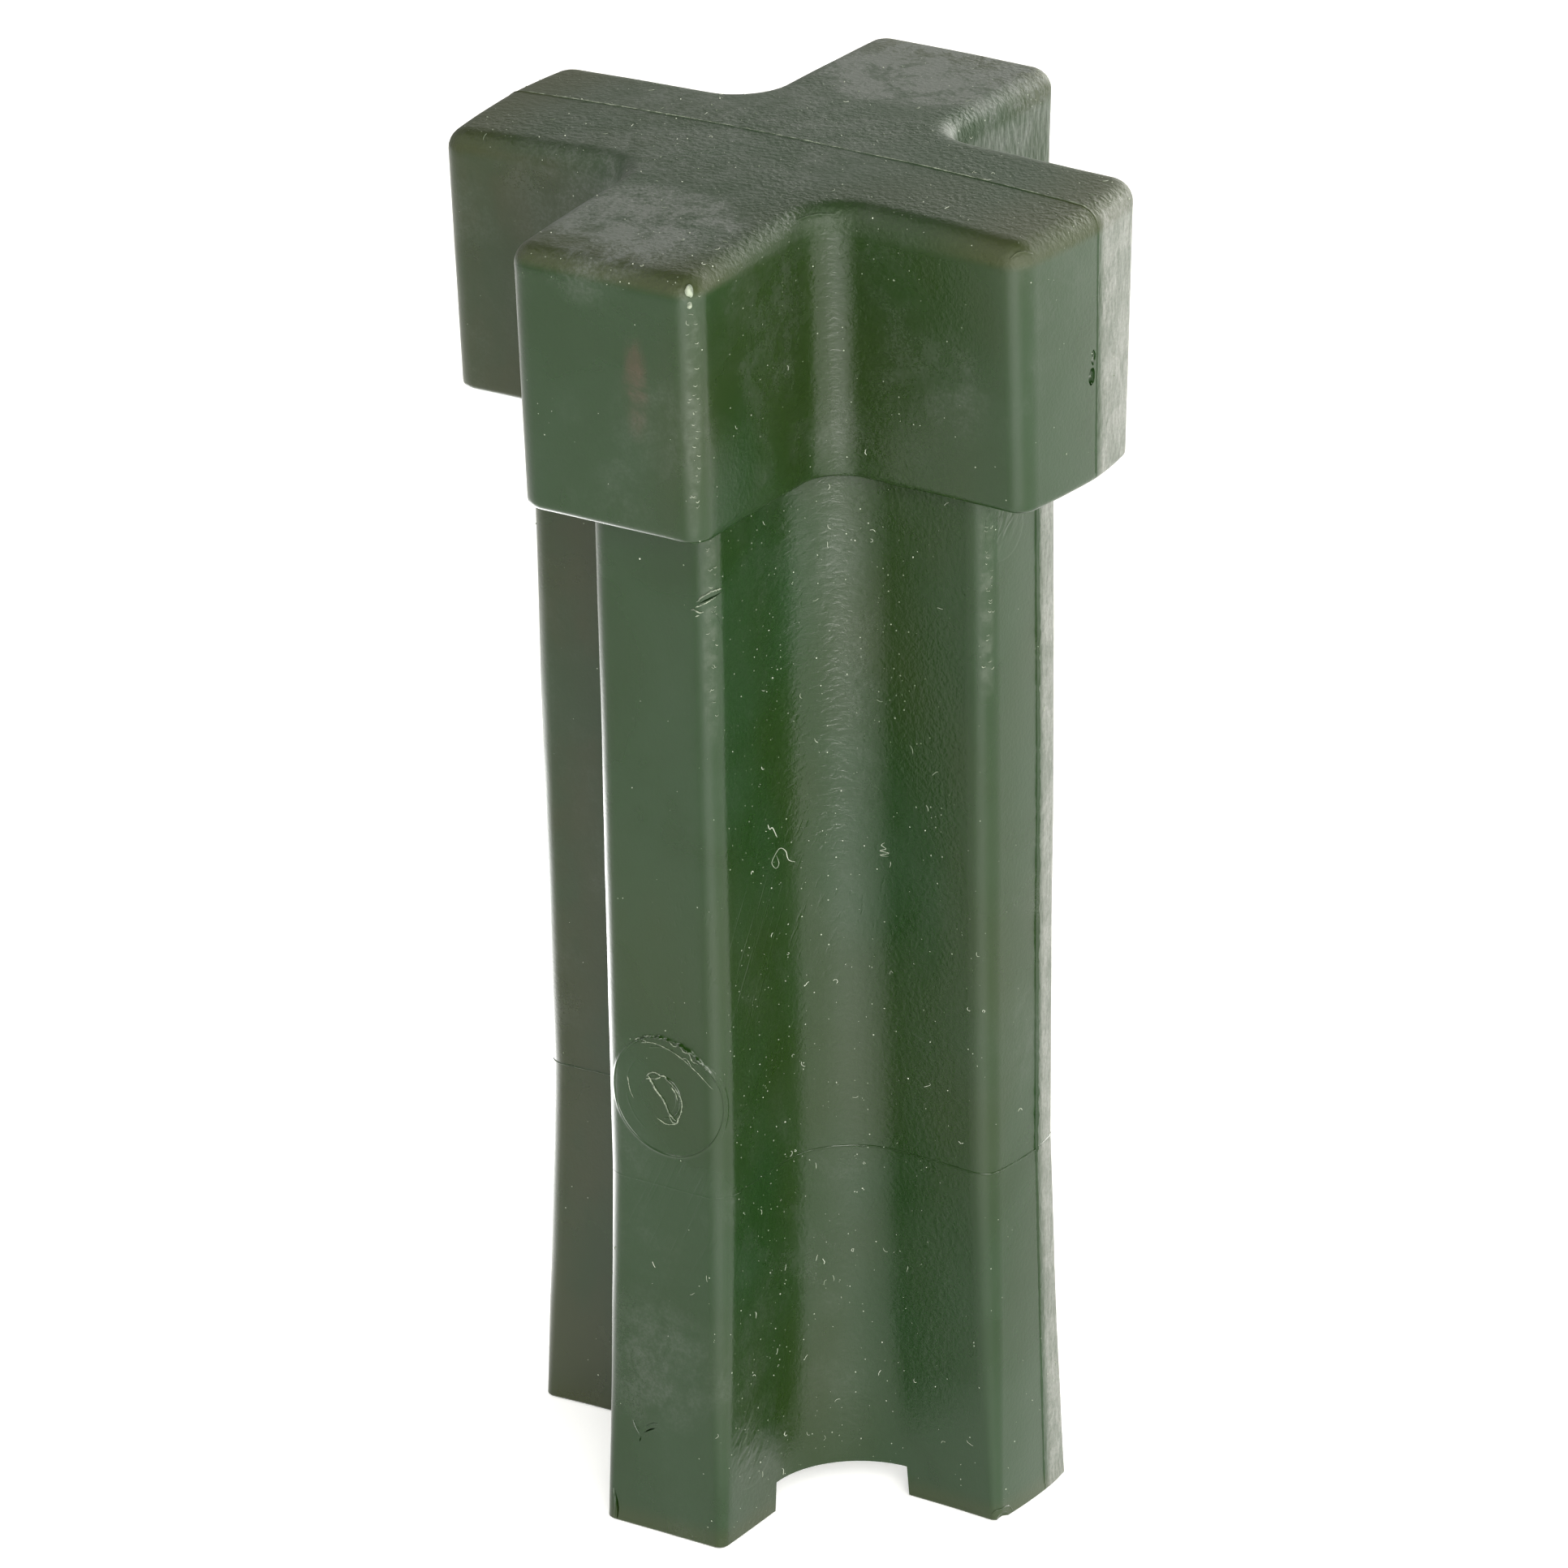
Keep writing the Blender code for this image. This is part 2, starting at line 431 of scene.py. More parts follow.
class Skin:
    """The finished body's surface, for laying marks on; all in millimetres."""

    def __init__(self, body):
        faces = [tuple(face.vertices) for face in body.data.polygons]
        self.tree = BVHTree.FromPolygons((vertex_values(body.data, "co") / MM).tolist(), faces)
        self.centres = np.array([face.center for face in body.data.polygons]) / MM
        self.areas = np.array([face.area for face in body.data.polygons])

    def nearest(self, points):
        """The closest places on the surface, and the outward directions there."""
        found = [self.tree.find_nearest(Vector(point))[:2] for point in points]
        return np.array([place for place, _ in found]), np.array([out for _, out in found])


# ---- Mould marks

# A bead's section: places across it as shares of its width, and their heights; below 0 they are sunk
BEAD_PROFILE = [(0.0, 1.0), (0.18, 0.85), (0.4, 0.25), (0.5, -1.0)]
BEAD_PROFILE = [(-across, rise) for across, rise in BEAD_PROFILE[:0:-1]] + BEAD_PROFILE
BEAD_SINK = 0.08


def bead(skin, path, width, height, seed, closed=False):
    """A thin raised line laid along a path, its width and height wandering as mould flash does."""
    places, outs = skin.nearest(path)
    ahead, behind = np.roll(places, -1, axis=0), np.roll(places, 1, axis=0)
    if not closed:
        ahead[-1], behind[0] = places[-1], places[0]
        kernel = np.ones(5) / 5
        padded = np.pad(outs, ((2, 2), (0, 0)), mode="edge")
        outs = unit(np.column_stack([np.convolve(padded[:, axis], kernel, "valid") for axis in range(3)]))
    across = unit(np.cross(outs, ahead - behind))
    heights = np.broadcast_to(height, len(path))
    rings = []
    for place, out, side, tall in zip(places, outs, across, heights):
        ragged = 1 + 0.45 * grain(place, 3.0, seed) + 0.5 * grain(place, 0.7, seed + 9)
        lean = 0.12 * grain(place, 1.6, seed + 5)
        ring = []
        for share, rise in BEAD_PROFILE:
            lift = -BEAD_SINK if rise < 0 else tall * rise * max(0.2, ragged)
            ring.append(place + side * width * (share + lean) + out * lift)
        rings.append(ring)
    return ring_solid(rings, closed)


def head_parting_path():
    """Up one end of the head, over the striking face and down the other end."""
    reach = SIDE_REACH + HEAD_RIDGE
    shoulder = SHAFT_LENGTH + 1.2
    brow = TOTAL_HEIGHT - 3.0
    corners = [(reach - 1.3, shoulder), (reach, shoulder + 6), (reach, brow - 6), (reach, brow)]
    corners += [(reach - 2.2, TOTAL_HEIGHT - 0.8), (reach - 6, TOTAL_HEIGHT - 0.3), (0, TOTAL_HEIGHT)]
    corners += [(-x, z) for x, z in corners[-2::-1]]
    return smooth_path([(x, PARTING_OFFSET, z) for x, z in corners], 0.5)


FLASH_WIDTH = 0.5
HEAD_FLASH_HEIGHT = 0.085
SHAFT_FLASH_HEIGHT = 0.34
INSERT_FLASH_HEIGHT = 0.13  # below the witness line


def parting_flash(skin):
    """The line that the two halves of the mould left on the head and on both ends of the shaft."""
    solids = [bead(skin, head_parting_path(), FLASH_WIDTH, HEAD_FLASH_HEIGHT, 1.0)]
    for side, seed in ((1, 2.0), (-1, 3.0)):
        reach = side * (SHAFT_LEVELS[2][1].side_reach + SHAFT_RIDGE)
        heights = np.arange(0.6, SHAFT_LENGTH - 1.5, 0.6)
        path = [(reach, PARTING_OFFSET, height) for height in heights]
        tall = np.where(heights > WITNESS_HEIGHT, SHAFT_FLASH_HEIGHT, INSERT_FLASH_HEIGHT)
        solids.append(bead(skin, path, FLASH_WIDTH, tall, seed))
    return add_piece("parting_flash", solids)


def parting_crest_highlight(skin):
    """The crest of the parting line on the striking face, painted pale along its back side as a highlight."""
    path = head_parting_path()
    path = path[path[:, 2] > TOTAL_HEIGHT - 1.0] + (0.0, 0.06, 0.0)
    return add_piece("parting_crest_highlight", [bead(skin, path, 0.22, 0.125, 6.0)])


def witness_line(skin):
    """The fine line all round the shaft where the mould's lower insert ends."""
    outline = cross_outline(shaft_section(WITNESS_HEIGHT))
    path = []
    for start, end in zip(outline, np.roll(outline, -1, axis=0)):
        count = max(1, round(np.linalg.norm(end - start) / 0.4))
        path.append(straight(start, end, count))
    path = with_height(np.vstack(path), WITNESS_HEIGHT)
    tall = np.where(path[:, 1] < -29, 0.025, 0.09)
    return add_piece("witness_line", [bead(skin, path, 0.34, tall, 4.0, closed=True)])


GATE_PLACE = (0.8, 61.9)  # along the front arm's face, and height
GATE_RADIUS = 8.2
SCAR_PLACE = (-1.0, -0.1)  # from the gate's centre
SCAR_RADIUS = 3.3


def front_face_point(along, height):
    """The place this far along the front arm's end face, going round its rounded corners."""
    section = shaft_section(height)
    flat = section.front_half_width - section.corner
    beyond = max(abs(along) - flat, 0.0) / section.corner
    aside = min(abs(along), flat) + section.corner * math.sin(beyond)
    back = section.corner * (1 - math.cos(beyond))
    return math.copysign(aside, along), back - section.front_reach, height


def hump(distance, width):
    """A rounded ridge profile, 1 at its crest."""
    return math.exp(-((distance / width) ** 2))


def window(angle, low, high, blur=12):
    """Fades in and out of a range of angles in degrees."""
    rise = 1 / (1 + math.exp(-(angle - low) / blur * 3))
    fall = 1 / (1 + math.exp((angle - high) / blur * 3))
    return rise * fall


def gate_relief(across, up):
    """How far the gate mark stands proud of the face, in mm, at a place from its centre."""
    distance = math.hypot(across, up)
    beyond = distance - GATE_RADIUS
    angle = math.degrees(math.atan2(up, across))
    ragged = grain((across, up, 0), 0.8, 7.0)
    fine = grain((across, up, 1), 0.35, 8.0)
    inside = 1 / (1 + math.exp((beyond + 0.25) / 0.05))
    rise = 0.03 - 0.07 * inside
    rise -= 0.13 * hump(beyond + 0.3, 0.13)
    rise += 0.09 * hump(beyond, 0.16)
    lip = window(angle, 42, 122, 8)
    depth = 0.5 + 0.5 * math.tanh((beyond + 1.1 - 0.35 * ragged) / 0.12)
    depth *= 0.5 - 0.5 * math.tanh((beyond + 0.2 - 0.2 * ragged) / 0.1)
    rise -= 0.26 * lip * depth
    rise += lip * (0.26 + 0.3 * ragged + 0.2 * fine) * hump(beyond - 0.15 * ragged, 0.22)
    rise += 0.09 * lip * hump(beyond + 1.25, 0.16)
    rise += 0.14 * window(angle, -28, 32) * hump(beyond - 0.5, 0.2)
    rise += 0.07 * window(abs(angle), 120, 176) * hump(distance - 0.76 * GATE_RADIUS, 0.22)
    aside, above = across - SCAR_PLACE[0], up - SCAR_PLACE[1]
    reach = math.hypot(aside, above)
    turn = math.degrees(math.atan2(above, aside))
    strong = 0.3 + 0.7 * window(turn, -75, 110)
    rise -= 0.16 * hump(reach - SCAR_RADIUS - 0.05, 0.13)
    rise += strong * (0.16 + 0.1 * ragged) * hump(reach - SCAR_RADIUS + 0.3, 0.14)
    rise += 0.1 * window(turn, -50, 60) * hump(reach - SCAR_RADIUS + 0.9, 0.12)
    return rise


PATCH_EDGE_DIP = 0.06
PATCH_SINK = 0.6


def relief_patch(name, skin, place_of, reaches, relief, spokes):
    """A thin closed skin of rings; its edge dips under the surface, its middle carries the relief."""
    radius = reaches[0]
    angles = full_turn(spokes)
    solid = []
    for level, reach in enumerate([radius, *reaches]):
        spots = [(reach * math.cos(angle), reach * math.sin(angle)) for angle in angles]
        places, outs = skin.nearest([place_of(across, up) for across, up in spots])
        edge = hump(reach / radius - 1, 0.06)
        lifts = [relief(across, up) * (1 - edge) - PATCH_EDGE_DIP * edge for across, up in spots]
        if level == 0:
            lifts = [-PATCH_SINK] * spokes
        solid.append(places + outs * np.array(lifts)[:, None])
    return add_piece(name, [ring_solid(solid)], RELIEF_SHARPNESS)


def gate_place(along, up):
    """The place on the front arm's end this far from the gate's centre."""
    return front_face_point(GATE_PLACE[0] + along, GATE_PLACE[1] + up)


def gate_mark(skin):
    """The round injection gate: a groove with a torn lip, and the scar of the sprue inside it."""
    fine, coarse = np.arange(8.95, 6.6, -0.055), np.arange(6.55, 4.7, -0.13)
    scar, middle = np.arange(4.65, 1.5, -0.07), np.arange(1.45, 0.1, -0.12)
    reaches = [9.25, 9.1, *fine, *coarse, *scar, *middle]
    return relief_patch("gate_mark", skin, gate_place, reaches, gate_relief, 330)


def ridged(point, seed):
    """Sharp-crested noise, 0 to 1."""
    return 1 - 2 * abs(grain(point, 1.0, seed))


def foot_wrinkles(skin):
    """Ripples where the cooling plastic puckered, low on the side of the front arm."""

    def place_of(across, up):
        return 9.3, -26.6 + across, 13.6 + 1.25 * up

    def relief(across, up):
        fade = hump(math.hypot(across, up), 3.6)
        along, over = 0.8 * across + 0.6 * up, 0.8 * up - 0.6 * across
        return 0.02 + 0.11 * fade * ridged((along / 2.2, over / 0.62, 0), 11.0)

    return relief_patch("foot_wrinkles", skin, place_of, np.linspace(6.4, 0.1, 44), relief, 150)


def drag_marks(skin):
    """Short scrapes under the head on the front of the right arm's end."""

    def place_of(across, up):
        return 35.4, -5.4 + across, 137.6 + up

    def relief(across, up):
        fade = hump(math.hypot(across / 3.0, (up - 1.5) / 2.6), 1.0)
        along, over = 0.55 * across + 0.83 * up, 0.83 * across - 0.55 * up
        return 0.02 + 0.13 * fade * ridged((along / 2.6, over / 0.55, 0), 13.0)

    return relief_patch("drag_marks", skin, place_of, np.linspace(4.6, 0.1, 36), relief, 130)


def small_lips(skin):
    """Fine raised edges at the crease, the foot's nicks and the head's corners, where the melt met."""
    lines = [
        ([(8.6, -31.8, 130.4), (9.2, -30.9, 129.0), (9.3, -30.6, 127.6)], 0.22, 0.1),
        ([(-4.9, -33.2, 15.0), (-4.3, -33.3, 13.9), (-3.9, -33.3, 13.2)], 0.2, 0.12),
        ([(-3.0, -33.3, 14.4), (-1.9, -33.3, 15.2), (-1.0, -33.2, 15.4)], 0.22, 0.14),
        ([(-7.9, -33.3, 4.6), (-7.5, -33.5, 2.4), (-7.6, -33.6, 0.4)], 0.35, 0.2),
        ([(12.9, -18.2, 178.4), (14.3, -16.2, 179.0), (16.5, -14.7, 179.0)], 0.35, 0.12),
        ([(41.0, -13.8, 177.4), (42.0, -12.9, 178.4), (43.1, -11.4, 177.8)], 0.35, 0.14),
        ([(33.9, -8.5, 0.5), (34.6, -8.0, 1.6), (35.5, -6.3, 1.5), (35.6, -5.4, 0.5)], 0.22, 0.1),
    ]
    solids = []
    for seed, (points, width, height) in enumerate(lines):
        path = smooth_path(points, 0.2)
        taper = np.sin(np.linspace(0.12, math.pi - 0.12, len(path))) ** 0.6
        solids.append(bead(skin, path, width, height * taper, 20.0 + seed))
    return add_piece("small_lips", solids)


# Torn edges of the gate, as places along and up the front arm's face, and their thickness
GATE_TEARS = [
    ([(-2.0, 64.3), (-1.3, 63.3), (-0.9, 62.6), (-0.1, 61.8), (0.5, 60.9), (1.0, 59.8), (2.0, 58.9)], 0.11),
    ([(-2.3, 64.2), (-1.7, 64.8), (-0.9, 65.0), (-0.2, 64.8), (0.6, 64.8), (0.8, 64.2)], 0.08),
    ([(-2.4, 63.8), (-1.6, 64.0), (-0.7, 64.2), (-0.1, 64.6)], 0.07),
    ([(0.5, 64.6), (1.7, 63.8), (2.4, 63.0), (3.0, 61.9), (2.9, 60.4), (2.3, 59.0)], 0.07),
    ([(1.5, 63.5), (2.1, 62.8), (2.4, 61.8)], 0.07),
    ([(-0.8, 58.6), (0.5, 58.1), (1.8, 58.4), (2.5, 59.1)], 0.06),
    ([(1.0, 59.4), (1.5, 58.6), (2.2, 58.6), (2.4, 59.4)], 0.07),
    ([(-5.2, 63.5), (-4.9, 61.7), (-4.4, 60.6)], 0.05),
    ([(-3.9, 68.9), (-3.2, 69.3), (-2.2, 69.0), (-3.0, 68.7)], 0.07),
    ([(-3.4, 69.1), (-1.9, 69.9), (-0.2, 70.1), (0.8, 69.9), (1.5, 70.0)], 0.06),
    ([(1.3, 69.9), (2.1, 69.4), (2.8, 69.7), (3.5, 69.0), (4.3, 68.9), (4.8, 68.0), (5.6, 67.8)], 0.08),
    ([(2.6, 68.2), (3.2, 67.9), (3.9, 68.1), (4.6, 67.2)], 0.05),
    ([(-3.0, 68.8), (-1.0, 69.1), (0.9, 68.8), (2.9, 68.1), (4.6, 67.1), (6.3, 65.9), (7.6, 64.6)], 0.05),
]
CUT_TEARS = [
    ([(7.0, -32.9, 131.6), (8.0, -32.6, 132.5), (8.9, -31.7, 133.0), (9.2, -30.3, 133.0)], 0.1),
    ([(6.9, -32.9, 130.9), (8.0, -32.6, 131.4), (8.9, -31.6, 132.0)], 0.08),
    ([(6.2, -32.9, 130.4), (6.8, -32.9, 130.5), (7.3, -32.8, 130.2), (7.9, -32.6, 130.3)], 0.09),
    ([(6.8, -32.9, 129.6), (7.3, -32.8, 129.8)], 0.07),
]


def torn_edges(skin):
    """Plastic drawn up and whitened where it tore: at the gate, at the cut and on the scuffed edges."""
    random = np.random.default_rng(21)
    solids = []
    tears = [([front_face_point(*point) for point in points], thick) for points, thick in GATE_TEARS]
    for points, thick in tears + CUT_TEARS:
        solids.append(curl(skin, points, thick, random))
    for x, y, low, high in SCUFFED_EDGES:
        for _ in range(round((high - low) * 0.9)):
            height = random.uniform(low, high)
            start = np.array((x + random.normal(0, 0.5), y + random.normal(0, 0.4), height))
            sweep = np.array((random.uniform(0.3, 0.7), random.uniform(0.0, 0.4), random.normal(0, 0.12)))
            middle = start + 0.5 * sweep - (0, 0, random.uniform(0.05, 0.25))
            solids.append(curl(skin, [start, middle, start + sweep], random.uniform(0.025, 0.055), random))
    return add_piece("torn_edges", solids, NEVER_SHARP)


# ---- Dust and lint

# Curls that lie in the flute, as points on the surface
CURLS = [
    [(10.2, -15.4, 90.2), (9.6, -16.4, 90.9), (9.4, -16.8, 92.2), (9.2, -17.9, 93.0), (9.1, -18.9, 92.6),
     (9.1, -19.8, 91.7), (9.1, -18.9, 90.6), (9.2, -18.2, 91.0), (9.1, -18.7, 92.3)],
    [(9.1, -20.6, 97.3), (9.1, -20.2, 96.5), (9.1, -19.5, 96.4), (9.2, -18.5, 94.7)],
    [(18.6, -8.6, 92.2), (18.2, -8.6, 91.8), (18.8, -8.6, 91.4), (18.0, -8.7, 91.0), (19.2, -8.6, 90.9),
     (18.0, -8.7, 90.4), (19.1, -8.6, 90.4)],
]
CURL_RADIUS = 0.05
CURL_POINTS = 6


def curl(skin, points, radius, random=None):
    """A thread resting on the surface through the given points; a random source makes it knotty."""
    places, outs = skin.nearest(smooth_path(points, 0.15))
    centres = places + outs * radius * 0.6
    along = unit(np.gradient(centres, axis=0))
    across = unit(np.cross(outs, along))
    thick = radius * np.clip(np.sin(np.linspace(0.1, math.pi - 0.1, len(centres))) * 2.5, 0.3, 1)
    if random:
        thick = thick * random.uniform(0.55, 1.35, len(centres))
        centres = centres + across * random.normal(0, 0.3 * radius, (len(centres), 1))
    turns = full_turn(CURL_POINTS)
    rings = []
    for centre, out, side, reach in zip(centres, outs, across, thick):
        rings.append([centre + (side * math.cos(turn) + out * math.sin(turn)) * reach for turn in turns])
    return ring_solid(rings)


def wandering(random, start, out, length):
    """A curly walk of this length over the surface from a starting place."""
    first = unit(np.cross(out, random.normal(size=3)))
    second = np.cross(out, first)
    heading, bend = random.uniform(0, 2 * math.pi), random.normal(0, 0.5)
    points = [np.array(start)]
    for _ in range(max(3, round(length / 0.3))):
        bend += random.normal(0, 0.35)
        heading += bend
        points.append(points[-1] + 0.3 * (first * math.cos(heading) + second * math.sin(heading)))
    return points


def dustiness(centres):
    """How much dust the surface holds at places in millimetres; most in the front right flute."""
    x, y, z = centres.T
    flute = np.exp(-(((x - 17) / 11) ** 2) - ((y + 17) / 11) ** 2) * (z < SHAFT_LENGTH)
    top = 0.35 * (z > TOTAL_HEIGHT - 2.5)
    return 0.07 + flute + top


def random_spots(random, skin, count):
    """Places all over the block, most where dust gathers, and the outward directions there."""
    share = skin.areas * dustiness(skin.centres)
    chosen = random.choice(len(share), count, p=share / share.sum())
    spread = random.uniform(-0.3, 0.3, (count, 3))
    return skin.nearest(skin.centres[chosen] + spread)


def lint_curls(skin):
    """Short curled fibres and shavings clinging to the plastic."""
    random = np.random.default_rng(11)
    solids = [curl(skin, points, CURL_RADIUS) for points in CURLS]
    for place, out in zip(*random_spots(random, skin, 150)):
        length = random.uniform(0.3, 1.2)
        radius = CURL_RADIUS * random.uniform(0.5, 0.9)
        solids.append(curl(skin, wandering(random, place, out, length), radius))
    return add_piece("lint_curls", solids, NEVER_SHARP)


def dust_grains(skin):
    """The largest specks of dust, each a lumpy grain sunk into the surface."""
    random = np.random.default_rng(12)
    solids = []
    for number, (place, out) in enumerate(zip(*random_spots(random, skin, 900))):
        size = 0.04 + 0.07 * random.uniform() ** 3
        radii = size * random.uniform(0.7, 1.3, 3)
        solids.append(pebble(place + out * size * 0.3, radii, float(number), 4, 6))
    return add_piece("dust_grains", solids, NEVER_SHARP)


def corner_scuff(skin):
    """Pale bruised plastic on the head's front right corner."""
    places, outs = skin.nearest([(12.9, -42.0, 176.9), (12.9, -42.2, 175.2), (13.4, -41.4, 173.4)])
    sizes = [(0.55, 0.5, 0.95), (0.4, 0.35, 0.6), (0.22, 0.2, 0.4)]
    solids = []
    for number, (place, out, radii) in enumerate(zip(places, outs, sizes)):
        solids.append(pebble(place - out * 0.22, np.array(radii), 31.0 + number, 13, 20))
    return add_piece("corner_scuff", solids, RELIEF_SHARPNESS)


# ---- Materials

COLUMN = (1, 1, 0)  # the shape of a zone that reaches all the way up and down


class Painter:
    """Short ways to make one material's nodes; sizes and places are in millimetres."""

    def __init__(self, name):
        self.material = bpy.data.materials.new(name)
        self.material.use_nodes = True
        self.tree = self.material.node_tree
        self.shader = self.tree.nodes["Principled BSDF"]
        self.place = self.make("ShaderNodeTexCoord").outputs["Object"]
        self.parts = self.make("ShaderNodeSeparateXYZ", Vector=self.place).outputs

    def make(self, kind, settings=None, **inputs):
        """A node; each input takes a number, a tuple or another node's output."""
        made = self.tree.nodes.new(kind)
        for key, value in (settings or {}).items():
            setattr(made, key, value)
        for key, value in inputs.items():
            self.feed(made.inputs[key.replace("_", " ")], value)
        return made

    def feed(self, socket, value):
        """Links another node's output to a socket, or sets the socket's own value."""
        if isinstance(value, bpy.types.NodeSocket):
            self.tree.links.new(value, socket)
        else:
            socket.default_value = value

    def operate(self, kind, operation, *values):
        """The outputs of a node that does one operation on its inputs."""
        made = self.make(kind, {"operation": operation})
        for socket, value in zip(made.inputs, values):
            self.feed(socket, value)
        return made.outputs

    def math(self, operation, *values):
        return self.operate("ShaderNodeMath", operation, *values)[0]

    def product(self, *values):
        return reduce(partial(self.math, "MULTIPLY"), values)

    def total(self, *values):
        return reduce(partial(self.math, "ADD"), values)

    def most(self, *values):
        return reduce(partial(self.math, "MAXIMUM"), values)

    def rest(self, value):
        """What is left of 1."""
        return self.math("SUBTRACT", 1.0, value)

    def ramp(self, value, low, high, bottom=0.0, top=1.0):
        """Runs smoothly from bottom to top as the value goes from low to high."""
        made = self.make(
            "ShaderNodeMapRange", {"interpolation_type": "SMOOTHSTEP"}, Value=value,
            From_Min=low, From_Max=high, To_Min=bottom, To_Max=top,
        )
        return made.outputs["Result"]

    def turned(self, stretch, turn=(0, 0, 0), shift=0.0):
        """The place in a turned frame, stretched along its axes; for streaks and scratches."""
        angles = [math.radians(angle) for angle in turn]
        made = self.make(
            "ShaderNodeMapping", {"vector_type": "TEXTURE"}, Vector=self.place,
            Scale=stretch, Rotation=angles, Location=(shift * MM, 0.0, 0.0),
        )
        return made.outputs["Vector"]

    def noise(self, size, detail=2.0, roughness=0.5, place=None, distortion=0.0):
        """Noise with features about this size."""
        made = self.make(
            "ShaderNodeTexNoise", Vector=place or self.place, Scale=0.6 / (size * MM),
            Detail=detail, Roughness=roughness, Distortion=distortion,
        )
        return made.outputs["Fac"]

    def pattern(self, size, low, high, *noise_settings, bottom=0.0, top=1.0, **more):
        """Noise spread out, so that its values from low to high run from bottom to top."""
        return self.ramp(self.noise(size, *noise_settings, **more), low, high, bottom, top)

    def near(self, centre, radius, blur, shape=(1, 1, 1)):
        """1 within this distance of a place, fading out; a shape below 1 stretches it along that axis."""
        vector = "ShaderNodeVectorMath"
        moved = self.operate(vector, "SUBTRACT", self.place, tuple(value * MM for value in centre))[0]
        shaped = self.operate(vector, "MULTIPLY", moved, shape)[0]
        distance = self.operate(vector, "LENGTH", shaped)["Value"]
        return self.ramp(distance, (radius + blur) * MM, radius * MM)

    def past(self, axis, start, end):
        """Runs from 0 to 1 from one place to another along an axis."""
        return self.ramp(self.parts[axis], start * MM, end * MM)

    def between(self, axis, low, high, blur):
        """1 between two places along an axis, fading out past them."""
        return self.product(self.past(axis, low - blur, low), self.past(axis, high + blur, high))

    def blend(self, share, first, second):
        """A colour between two others."""
        made = self.make("ShaderNodeMix", {"data_type": "RGBA"}, Factor=share)
        colours = [socket for socket in made.inputs if socket.type == "RGBA"]
        for socket, value in zip(colours, (first, second)):
            self.feed(socket, (*value, 1.0) if isinstance(value, tuple) else value)
        return [socket for socket in made.outputs if socket.type == "RGBA"][0]

    def bump(self, height, depth, normal=None):
        """Raises the surface by up to this many millimetres where height is 1."""
        made = self.make("ShaderNodeBump", Height=height, Strength=1.0, Distance=depth * MM)
        if normal:
            self.feed(made.inputs["Normal"], normal)
        return made.outputs["Normal"]

    def finish(self, colour, roughness, normal=None):
        """Feeds the shader and gives the material."""
        self.feed(self.shader.inputs["Base Color"], colour)
        self.feed(self.shader.inputs["Roughness"], roughness)
        if normal:
            self.feed(self.shader.inputs["Normal"], normal)
        return self.material


# Colours, as linear red, green and blue
DEEP_GREEN = (0.0034, 0.0195, 0.0005)
BLUE_GREEN = (0.0062, 0.024, 0.0044)
OLIVE = (0.009, 0.02, 0.0008)
# Paler olive on the left arm's upright faces is a painted reflection, standing in for the greyer light they
# reflect
REFLECTED_OLIVE = (0.018, 0.021, 0.003)
# Brown lies on the outer striking face and round the foot; round the foot it is a painted reflection of the
# floor
BROWN = (0.021, 0.026, 0.0026)
# The pale film is partly real bloom and partly a painted sheen standing in for reflected light
FILM_AND_SHEEN = (0.085, 0.096, 0.083)
# The frost on the right end's back half is mostly a painted highlight
FROST_AND_HIGHLIGHT = (0.165, 0.17, 0.155)
SMUDGE = (0.046, 0.027, 0.016)
SCUFFED = (0.052, 0.066, 0.046)
DUST = (0.34, 0.38, 0.3)

PLASTIC_IOR = 1.46

# Pale clouds in the film: middle, radius, fade and strength. Those on the striking face, the one low in the
# head's inner corner and the one low in the shaft's flute are painted highlights; the others were left by
# handling.
CLOUDS_AND_HIGHLIGHTS = [
    ((-2, -30, 180), 8, 8, 1.95),
    ((0, 34, 180), 10, 9, 2.60),
    ((-10, 0, 180), 12, 22, 0.7),
    ((29, -14, 158), 4, 7, 0.34),
    ((14, -30, 164), 1, 3, 0.3),
    ((8, -42, 158), 2, 8, 0.25),
    ((-42, -13, 168), 3, 8, 0.22),
    ((-2, -33, 24), 4, 9, 0.32),
    ((35, -4, 66), 3, 9, 0.4),
    ((17, -17, 150), 2, 5, 0.35),
    ((17, -17, 16), 3, 8, 0.25),
    ((-34, -9, 118), 3, 8, 0.26),
    ((-34, -9, 60), 3, 8, 0.18),
    ((12, -24, 10), 3, 8, 0.28),
]

# Painted shade: places where the film is thinned so that the plastic reads darker where it reflects less
# light; middle, radius, fade and shape
PAINTED_SHADE_SPOTS = [
    ((27, -9, 65), 8, 6, (1, 1, 0.11)),
    ((0, -33, 105), 8, 9, (1, 1, 0.28)),
    ((-32, -9, 128), 9, 8, (1, 1, 0.8)),
    ((-32, -9, 15), 9, 8, (1, 1, 0.6)),
    ((30, 6, 180), 9, 6, (1, 1, 1)),
]
PAINTED_SHADE_STRENGTH = 0.8

SPECK_SPACING = 0.75
LARGEST_SPECK = 0.13  # as a share of the spacing


